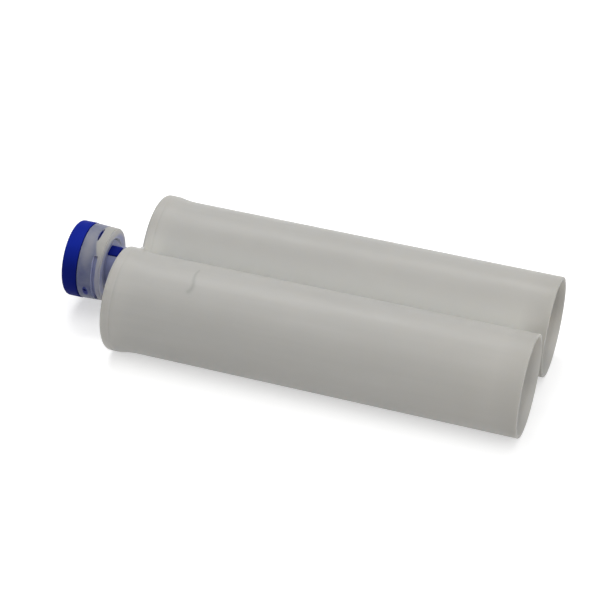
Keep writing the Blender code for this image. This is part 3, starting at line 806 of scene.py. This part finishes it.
def nut_port(turn, brim):
    """A round hole through the nut's conical front."""
    made = bmesh.new()
    depth = brim - NUT_BORE_RADIUS
    bmesh.ops.create_cone(made, cap_ends=True, segments=PORT_STEPS, depth=depth,
                          radius1=PORT_RADIUS, radius2=PORT_RADIUS)
    along = Matrix.Translation((nose(NUT_FRONT - PORT_PLACE), 0.0, NUT_BORE_RADIUS + depth / 2))
    place = Matrix.Translation((0.0, 0.0, AXIS_Z)) @ Matrix.Rotation(turn, 4, "X")
    bmesh.ops.transform(made, matrix=place @ along, verts=made.verts)
    return finished("port", made)


def build_piston(side, sign):
    """One piston: chamfered nose, seal groove, hollow rear with a hub and ribs."""
    radius = BORE_RADIUS - PISTON_GAP
    half = SEAL_THICKNESS / 2 + SEAT_GAP
    groove_floor = BORE_RADIUS - SEAL_RUNNING_GAP - SEAL_THICKNESS - SEAT_GAP
    hollow = groove_floor - PISTON_WALL
    corners = [
        (PISTON_LENGTH - PISTON_RIB_STEP, 0.0, 0.0),
        (PISTON_LENGTH - PISTON_RIB_STEP, PISTON_HUB_RADIUS, PISTON_ROUND),
        (PISTON_CROWN, PISTON_HUB_RADIUS, PISTON_ROUND),
        (PISTON_CROWN, hollow, PISTON_ROUND),
        (PISTON_LENGTH, hollow + PISTON_EDGE, PISTON_ROUND),
        (PISTON_LENGTH, radius, PISTON_EDGE),
        (SEAL_PLACE + half, radius, PISTON_ROUND / 2),
        (SEAL_PLACE + half, groove_floor, PISTON_ROUND / 2),
        (SEAL_PLACE - half, groove_floor, PISTON_ROUND / 2),
        (SEAL_PLACE - half, radius, PISTON_ROUND / 2),
        (PISTON_NOSE_LENGTH, radius, PISTON_ROUND),
        (0.0, radius - PISTON_NOSE_WIDTH, PISTON_ROUND),
        (0.0, 0.0, 0.0),
    ]
    outline = rounded([(PISTON_START + x, r, rounding) for x, r, rounding in corners])
    y = sign * BARREL_OFFSET
    piston = lathe(f"piston_moulding_{side}", split(outline, PISTON_STEP), even_angles(PISTON_STEPS), y)
    reach = radius - PISTON_WALL
    for index in range(RIB_BARS):
        low = (PISTON_START + PISTON_CROWN / 2, -reach, -RIB_THICKNESS / 2)
        high = (PISTON_START + PISTON_LENGTH - PISTON_RIB_STEP, reach, RIB_THICKNESS / 2)
        combine(piston, slab("rib", low, high, math.pi * index / RIB_BARS, y), "UNION")
    return piston


def build_seal(side, sign):
    """The O-ring in a piston's groove."""
    middle = BORE_RADIUS - SEAL_RUNNING_GAP - SEAL_THICKNESS / 2
    x = PISTON_START + SEAL_PLACE
    thick = SEAL_THICKNESS / 2
    outline = []
    for step in range(SEAL_SIDES):
        angle = math.tau * step / SEAL_SIDES
        outline.append((x + thick * math.sin(angle), middle + thick * math.cos(angle)))
    return lathe(f"seal_ring_{side}", outline, even_angles(SEAL_STEPS), sign * BARREL_OFFSET, ring=True)


class Material:
    """A Principled material that is put together node by node."""

    def __init__(self, name):
        self.material = bpy.data.materials.new(name)
        self.material.use_nodes = True
        self.tree = self.material.node_tree
        self.shader = self.tree.nodes["Principled BSDF"]
        self.place = self.add("ShaderNodeTexCoord").outputs["Object"]

    def add(self, kind, **values):
        node = self.tree.nodes.new(kind)
        for key, value in values.items():
            setattr(node, key, value)
        return node

    def link(self, source, target):
        self.tree.links.new(source, target)

    def set(self, **values):
        """Constant values of the shader, by the names of its sockets with _ for a space."""
        for key, value in values.items():
            self.shader.inputs[key.replace("_", " ")].default_value = value

    def noise(self, scale, detail=3.0, stretch=(1.0, 1.0, 1.0), rough=0.5):
        """Noise with features of about 1/scale metres, which can be drawn out along an axis."""
        mapping = self.add("ShaderNodeMapping")
        mapping.inputs["Scale"].default_value = stretch
        self.link(self.place, mapping.inputs["Vector"])
        texture = self.add("ShaderNodeTexNoise")
        texture.inputs["Scale"].default_value = scale
        texture.inputs["Detail"].default_value = detail
        texture.inputs["Roughness"].default_value = rough
        self.link(mapping.outputs["Vector"], texture.inputs["Vector"])
        return texture.outputs["Fac"]

    def spread(self, source, low, high, start=0.3, end=0.7):
        """A value mapped from one range to another, and held at its ends."""
        ranged = self.add("ShaderNodeMapRange")
        ranged.inputs["From Min"].default_value = start
        ranged.inputs["From Max"].default_value = end
        ranged.inputs["To Min"].default_value = low
        ranged.inputs["To Max"].default_value = high
        self.link(source, ranged.inputs["Value"])
        return ranged.outputs["Result"]

    def join(self, operation, first, second):
        maths = self.add("ShaderNodeMath", operation=operation)
        for socket, value in zip(maths.inputs, (first, second)):
            if isinstance(value, (int, float)):
                socket.default_value = value
            else:
                self.link(value, socket)
        return maths.outputs["Value"]

    def mix(self, share, first, second):
        mixed = self.add("ShaderNodeMix", data_type="RGBA")
        sockets = (mixed.inputs["Factor"], mixed.inputs[6], mixed.inputs[7])
        for socket, value in zip(sockets, (share, first, second)):
            if isinstance(value, (int, float, tuple)):
                socket.default_value = value
            else:
                self.link(value, socket)
        return mixed.outputs[2]

    def bump(self, height, distance):
        bump = self.add("ShaderNodeBump")
        bump.inputs["Strength"].default_value = BUMP_STRENGTH
        bump.inputs["Distance"].default_value = distance
        self.link(height, bump.inputs["Height"])
        self.link(bump.outputs["Normal"], self.shader.inputs["Normal"])


def shade(colour, factor):
    return tuple(channel * factor for channel in colour[:3]) + (1.0,)


def natural_base(made, plain):
    """Milky polypropylene: soft clouds, faint flow lines along the barrels and a satin grain."""
    clouds = made.noise(**CLOUDS)
    flow = made.noise(**FLOW)
    dark, light = (shade(plain, tone) for tone in CLOUD_TONES)
    colour = made.mix(made.spread(clouds, 0.0, 1.0), dark, light)
    colour = made.mix(made.spread(flow, 0.0, FLOW_SHARE), colour, shade(plain, FLOW_TONE))
    made.link(made.spread(made.noise(**SATIN), *SATIN_ROUGHNESS), made.shader.inputs["Roughness"])
    grain = made.noise(**GRAIN)
    lines = made.noise(**LINES)
    height = made.join("ADD", grain, made.join("MULTIPLY", lines, LINE_SHARE))
    made.bump(height, GRAIN_HEIGHT)
    made.set(Subsurface_Weight=MILKINESS, Subsurface_Scale=1.0, Subsurface_Radius=MILK_DEPTH)
    made.set(Specular_IOR_Level=NATURAL_GLOSS, IOR=NATURAL_IOR)
    return colour


def nose_place(made):
    """Reach ahead of the barrels, distance from the nose's axis, and angle from the top, at a point."""
    apart = made.add("ShaderNodeSeparateXYZ")
    made.link(made.place, apart.inputs["Vector"])
    x, y, z = (apart.outputs[axis] for axis in "XYZ")
    height = made.join("SUBTRACT", z, AXIS_Z)
    squares = made.join("ADD", made.join("MULTIPLY", y, y), made.join("MULTIPLY", height, height))
    angle = made.join("ARCTAN2", made.join("MULTIPLY", y, -1.0), height)
    return made.join("SUBTRACT", FRONT_X, x), made.join("SQRT", squares, 0.0), angle


def body_material():
    """Natural plastic, with painted light between the barrels and in their bores, painted shade at their open
    ends, on their rims and along the mark's groove, and the plug's tint on the nose, with painted light on
    the nose's back faces and on the spigot.
    """
    made = Material("natural_polypropylene")
    colour = natural_base(made, NATURAL)
    reach, radius, _ = nose_place(made)
    glow = valley_painted_light(made, reach)
    # Lighter between the flanks of the two barrels: painted light
    colour = made.mix(glow, colour, VALLEY_PAINTED_LIGHT)
    # Darker towards the barrels' open ends: painted shade
    end = made.spread(reach, 1.0, 0.0, -BARREL_LENGTH, -BARREL_LENGTH + BARREL_END_REACH)
    colour = made.mix(end, colour, BARREL_END_PAINTED_SHADE)
    # Lighter in the bores: painted light
    colour = painted_bore_light(made, reach, glow, colour)
    face = facing_back(made)
    # Darker on the barrels' rim faces: painted shade
    colour = made.mix(made.join("MULTIPLY", end, face), colour, RIM_FACE_PAINTED_SHADE)
    mark = made.add("ShaderNodeAttribute", attribute_name="mark").outputs["Fac"]
    # Darker along the mark's groove, by its depth: painted shade
    colour = made.mix(made.join("MULTIPLY", mark, MARK_SHADE_SHARE), colour, shade(NATURAL, MARK_SHADE_TONE))
    inside = made.spread(radius, 1.0, 0.0, SPIGOT_RADIUS, SPIGOT_RADIUS + NECK_TINT_FADE)
    tint = made.join("MULTIPLY", made.spread(reach, 0.0, 1.0, *NECK_TINT_REACH), inside)
    # Lighter on the neck's faces that look back at the barrels: painted light
    neck = made.mix(face, NECK_TINT, NECK_FACE_PAINTED_LIGHT)
    # Lighter on the spigot inside the nut, in the narrow gap: painted light
    neck = made.mix(made.spread(reach, 0.0, 1.0, NECK_REACH, NECK_REACH + SPIGOT_ROUND), neck, LILAC_GAP_PAINTED_LIGHT)
    colour = made.mix(made.join("MULTIPLY", tint, NECK_TINT_SHARE), colour, neck)
    made.link(colour, made.shader.inputs["Base Color"])
    return made.material


def painted_bore_light(made, reach, glow, colour):
    """The colour with painted light in the bores, lighter at their tops and bottoms and near the barrels'
    valley, least at their sides.
    """
    apart = made.add("ShaderNodeSeparateXYZ")
    made.link(made.place, apart.inputs["Vector"])
    aside = made.join("SUBTRACT", made.join("ABSOLUTE", apart.outputs["Y"], 0.0), BARREL_OFFSET)
    height = made.join("SUBTRACT", apart.outputs["Z"], AXIS_Z)
    squares = made.join("ADD", made.join("MULTIPLY", aside, aside), made.join("MULTIPLY", height, height))
    radius = made.join("SQRT", squares, 0.0)
    mouth = BORE_RADIUS + LEAD_IN_WIDTH
    inside = made.spread(radius, 1.0, 0.0, mouth, (mouth + BARREL_RADIUS) / 2)
    behind = made.spread(reach, 1.0, 0.0, -FRONT_WALL, -FRONT_WALL / 2)
    lit = made.spread(made.join("ABSOLUTE", height, 0.0), 0.0, 1.0, *BORE_PAINTED_LIGHT_HEIGHT)
    lit = made.join("MAXIMUM", lit, glow)
    return made.mix(made.join("MULTIPLY", inside, behind), colour, made.mix(lit, BORE_SIDE_PAINTED_LIGHT, BORE_PAINTED_LIGHT))


def facing_back(made):
    """1 where a surface looks back at the barrels, 0 where it looks to the side."""
    apart = made.add("ShaderNodeSeparateXYZ")
    made.link(made.add("ShaderNodeTexCoord").outputs["Normal"], apart.inputs["Vector"])
    return made.spread(apart.outputs["X"], 0.0, 1.0, *FACE_TURN)


def valley_painted_light(made, reach):
    """How much painted light a place gets between the flanks of the two barrels, from 0 to 1."""
    apart = made.add("ShaderNodeSeparateXYZ")
    made.link(made.place, apart.inputs["Vector"])
    aside = made.join("ABSOLUTE", apart.outputs["Y"], 0.0)
    near = made.spread(aside, 1.0, 0.0, VALLEY_DEPTH, VALLEY_REACH)
    behind = made.spread(reach, 1.0, 0.0, -BRIDGE_STEP_BACK, 0.0)
    return made.join("MULTIPLY", made.join("MULTIPLY", near, near), behind)


def nut_material():
    """The same plastic in a darker painted shade, tinted by the blue plug behind it apart from two patches
    round the slits, with painted shade on its sides and painted light on its back faces and in the gap at its
    bore.
    """
    made = Material("tinted_polypropylene")
    # The same plastic as the barrels, darker: painted shade
    colour = natural_base(made, NUT_NATURAL_PAINTED_SHADE)
    made.set(Specular_IOR_Level=NUT_GLOSS)
    reach, radius, angle = nose_place(made)
    turn = made.join("MULTIPLY", made.join("SUBTRACT", angle, PATCH_ANGLE), float(NUT_SYMMETRY))
    toward = made.join("COSINE", turn, 0.0)
    face = facing_back(made)
    # Lighter on the nut's faces that look back at the barrels: painted light
    colour = made.mix(face, colour, NUT_FACE_PAINTED_LIGHT)
    border = made.spread(toward, *PATCH_REACH, *PATCH_TURN)
    outside = made.spread(made.join("SUBTRACT", reach, border), 0.0, 1.0, -PATCH_FADE, PATCH_FADE)
    rim = made.spread(toward, FACE_BORDER[1], FACE_BORDER[0], *BORDER_TURN)
    inside = made.spread(made.join("SUBTRACT", radius, rim), 1.0, 0.0, -BORDER_FADE[0], BORDER_FADE[1])
    # More tint on the nut's sides, away from the patches: painted shade
    shade_veil = made.spread(toward, SHADE_VEIL_SHARE, 0.0, *SHADE_VEIL_TURN)
    tint = made.join("MAXIMUM", made.join("MAXIMUM", outside, inside), shade_veil)
    patches = made.spread(made.noise(**TINT_PATCHES), TINT_PATCH_SHARE, 1.0)
    # Darker lilac on the nut's sides: painted shade
    lilac = made.mix(made.spread(toward, 1.0, 0.0, *LILAC_TURN), LILAC_LIGHT, LILAC_PAINTED_SHADE)
    spot = stain(made, reach, radius, angle, (SPOT_ANGLE, SPOT_REACH), SPOT_SIZE, 0.0)
    lilac = made.mix(made.join("MULTIPLY", spot, SPOT_SHARE), lilac, PALE_SPOT)
    hollow = made.spread(radius, 1.0, 0.0, *HOLLOW_RADIUS)
    groove = NUT_REAR + NUT_GROOVE_PLACE
    ridge = made.spread(reach, 1.0, 0.0, groove - RIDGE_FADE, groove + RIDGE_FADE)
    lilac = made.mix(made.join("MAXIMUM", hollow, ridge), lilac, LILAC_GROOVE)
    # Lighter on the tinted back faces: painted light
    lilac = made.mix(face, lilac, LILAC_FACE_PAINTED_LIGHT)
    gap = made.spread(radius, 1.0, 0.0, NUT_BORE_RADIUS, NUT_BORE_RADIUS + GAP_FADE)
    # Lighter in the gap round the nut's bore: painted light
    lilac = made.mix(gap, lilac, LILAC_GAP_PAINTED_LIGHT)
    colour = made.mix(made.join("MULTIPLY", tint, patches), colour, lilac)
    slit_middle = (SLIT_ANGLE, NUT_REAR + SLIT_PLACE + SLIT_WIDTH / 2)
    slit_half = (SLIT_LENGTH / 2, SLIT_WIDTH / 2 + STAIN_EDGE)
    slit = stain(made, reach, radius, angle, slit_middle, slit_half, STAIN_CORE)
    port_middle = (PORT_STAIN_ANGLE, NUT_FRONT - PORT_PLACE)
    port = stain(made, reach, radius, angle, port_middle, PORT_STAIN, STAIN_CORE)
    colour = made.mix(made.join("MAXIMUM", slit, port), colour, BLUE_SHOWING)
    made.link(colour, made.shader.inputs["Base Color"])
    return made.material


def stain(made, reach, radius, angle, middle, half, core):
    """Round spots on opposite sides of the nut, from 0 to 1, full up to their core, with a soft edge."""
    turned = made.join("SUBTRACT", angle, middle[0])
    sideways = made.join("MULTIPLY", radius, made.join("SINE", turned, 0.0))
    along = made.join("SUBTRACT", reach, middle[1])
    squares = []
    for distance, size in ((sideways, half[0]), (along, half[1])):
        share = made.join("DIVIDE", distance, size)
        squares.append(made.join("MULTIPLY", share, share))
    total = made.join("ADD", squares[0], squares[1])
    return made.spread(total, 1.0, 0.0, core, STAIN_END)


def plug_material():
    """Opaque blue plastic, with painted shade on its lower flanks and on the key inside the nut."""
    made = plain_material("blue_polyethylene", BLUE, **BLUE_FINISH)
    reach, _, angle = nose_place(made)
    colours = made.shader.inputs["Base Color"].links[0].from_socket
    # Darker on the lower flanks and on the key inside the nut: painted shade
    shaded_flank = made.spread(made.join("COSINE", angle, 0.0), 1.0, 0.0, *FLANK_SHADE_TURN)
    key = made.spread(reach, 1.0, 0.0, NUT_REAR, NUT_REAR + THREAD_LEAD)
    painted_shade = made.join("MAXIMUM", shaded_flank, key)
    made.link(made.mix(painted_shade, colours, BLUE_PAINTED_SHADE), made.shader.inputs["Base Color"])
    return made.material


def plain_material(name, colour, roughness, grain, gloss, variation):
    """A moulded plastic or rubber with soft clouds of tone and a fine moulded grain."""
    made = Material(name)
    clouds = made.spread(made.noise(**PLAIN_CLOUDS), 0.0, 1.0)
    colours = made.mix(clouds, shade(colour, 1.0 - variation), shade(colour, 1.0 + variation))
    made.link(colours, made.shader.inputs["Base Color"])
    low, high = (roughness + change for change in PLAIN_ROUGHNESS)
    made.link(made.spread(made.noise(**PLAIN_SATIN), low, high), made.shader.inputs["Roughness"])
    made.bump(made.noise(grain, GRAIN["detail"]), PLAIN_GRAIN_HEIGHT)
    made.set(Specular_IOR_Level=gloss)
    return made


def build_stage():
    """White floor that keeps a soft shadow, an even white world and four broad lamps."""
    made = bmesh.new()
    bmesh.ops.create_grid(made, x_segments=1, y_segments=1, size=FLOOR_SIZE / 2)
    floor = finished("floor", made)
    floor.data.materials.append(floor_material())
    build_world()
    softbox("streak_lamp", STREAK_SIZE, STREAK_PLACE, STREAK_POWER)
    softbox("overhead_lamp", OVERHEAD_SIZE, OVERHEAD_PLACE, OVERHEAD_POWER)
    softbox("side_lamp", SIDE_SIZE, SIDE_PLACE, SIDE_POWER)
    softbox("end_lamp", END_SIZE, END_PLACE, END_POWER)


def softbox(name, size, place, power):
    """A rectangular lamp aimed at the middle of the cartridge."""
    lamp = bpy.data.lights.new(name, "AREA")
    lamp.shape = "RECTANGLE"
    lamp.size, lamp.size_y = size
    lamp.energy = power
    holder = bpy.data.objects.new(name, lamp)
    bpy.context.scene.collection.objects.link(holder)
    holder.location = place
    aim = Vector((0.0, 0.0, AXIS_Z)) - Vector(place)
    holder.rotation_euler = aim.to_track_quat("-Z", "Y").to_euler()


def seen_rays(tree):
    """1 for the rays that show the background: from the camera, from a gloss or through glass."""
    path = tree.nodes.new("ShaderNodeLightPath")
    total = None
    for name in ("Is Camera Ray", "Is Glossy Ray", "Is Transmission Ray"):
        if total is None:
            total = path.outputs[name]
            continue
        larger = tree.nodes.new("ShaderNodeMath")
        larger.operation = "MAXIMUM"
        tree.links.new(total, larger.inputs[0])
        tree.links.new(path.outputs[name], larger.inputs[1])
        total = larger.outputs[0]
    return total


def floor_material():
    material = bpy.data.materials.new("white_floor")
    material.use_nodes = True
    tree = material.node_tree
    tree.nodes.clear()
    output = tree.nodes.new("ShaderNodeOutputMaterial")
    both = tree.nodes.new("ShaderNodeAddShader")
    matt = tree.nodes.new("ShaderNodeBsdfDiffuse")
    matt.inputs["Color"].default_value = FLOOR_COLOUR
    glow = tree.nodes.new("ShaderNodeEmission")
    strength = tree.nodes.new("ShaderNodeMath")
    strength.operation = "MULTIPLY"
    strength.inputs[1].default_value = FLOOR_GLOW
    tree.links.new(seen_rays(tree), strength.inputs[0])
    tree.links.new(strength.outputs[0], glow.inputs["Strength"])
    tree.links.new(matt.outputs[0], both.inputs[0])
    tree.links.new(glow.outputs[0], both.inputs[1])
    tree.links.new(both.outputs[0], output.inputs["Surface"])
    return material


def build_world():
    world = bpy.data.worlds.new("white_world")
    bpy.context.scene.world = world
    world.use_nodes = True
    tree = world.node_tree
    background = tree.nodes["Background"]
    background.inputs["Color"].default_value = (1.0, 1.0, 1.0, 1.0)
    level = tree.nodes.new("ShaderNodeMapRange")
    level.inputs["To Min"].default_value = AMBIENT
    level.inputs["To Max"].default_value = 1.0
    tree.links.new(seen_rays(tree), level.inputs["Value"])
    tree.links.new(level.outputs["Result"], background.inputs["Strength"])


def build_camera():
    """The camera of the photograph, solved from the outlines of the barrels."""
    camera = bpy.data.objects.new("camera", bpy.data.cameras.new("camera"))
    bpy.context.scene.collection.objects.link(camera)
    level = math.cos(CAMERA_ELEVATION)
    right = Vector((math.cos(CAMERA_AZIMUTH), math.sin(CAMERA_AZIMUTH), 0.0))
    back = Vector((right.y * level, -right.x * level, math.sin(CAMERA_ELEVATION)))
    up = back.cross(right)
    rolled_right = right * math.cos(CAMERA_ROLL) + up * math.sin(CAMERA_ROLL)
    rolled_up = up * math.cos(CAMERA_ROLL) - right * math.sin(CAMERA_ROLL)
    turn = Matrix((rolled_right, rolled_up, back)).transposed().to_4x4()
    camera.matrix_world = Matrix.Translation(CAMERA_TARGET + back * CAMERA_DISTANCE) @ turn
    camera.data.sensor_width = SENSOR_WIDTH
    camera.data.lens = FOCAL_LENGTH / PICTURE * SENSOR_WIDTH
    camera.data.clip_start = CAMERA_DISTANCE / 100
    bpy.context.scene.camera = camera


def main():
    build_camera()
    dress(build_body(), body_material(), "cartridge_body", "cartridge")
    dress(build_nut(), nut_material(), "retaining_nut", "nut")
    dress(build_plug(), plug_material(), "closure_plug", "plug")
    white = plain_material("white_polyethylene", WHITE, **WHITE_FINISH)
    rubber = plain_material("black_rubber", BLACK, **RUBBER_FINISH)
    for side, sign in SIDES.items():
        carrier = f"{side}_piston"
        dress(build_piston(side, sign), white.material, f"piston_{side}", carrier)
        dress(build_seal(side, sign), rubber.material, f"piston_seal_{side}", carrier)
    build_stage()
    bpy.context.scene.view_settings.view_transform = "Standard"


main()
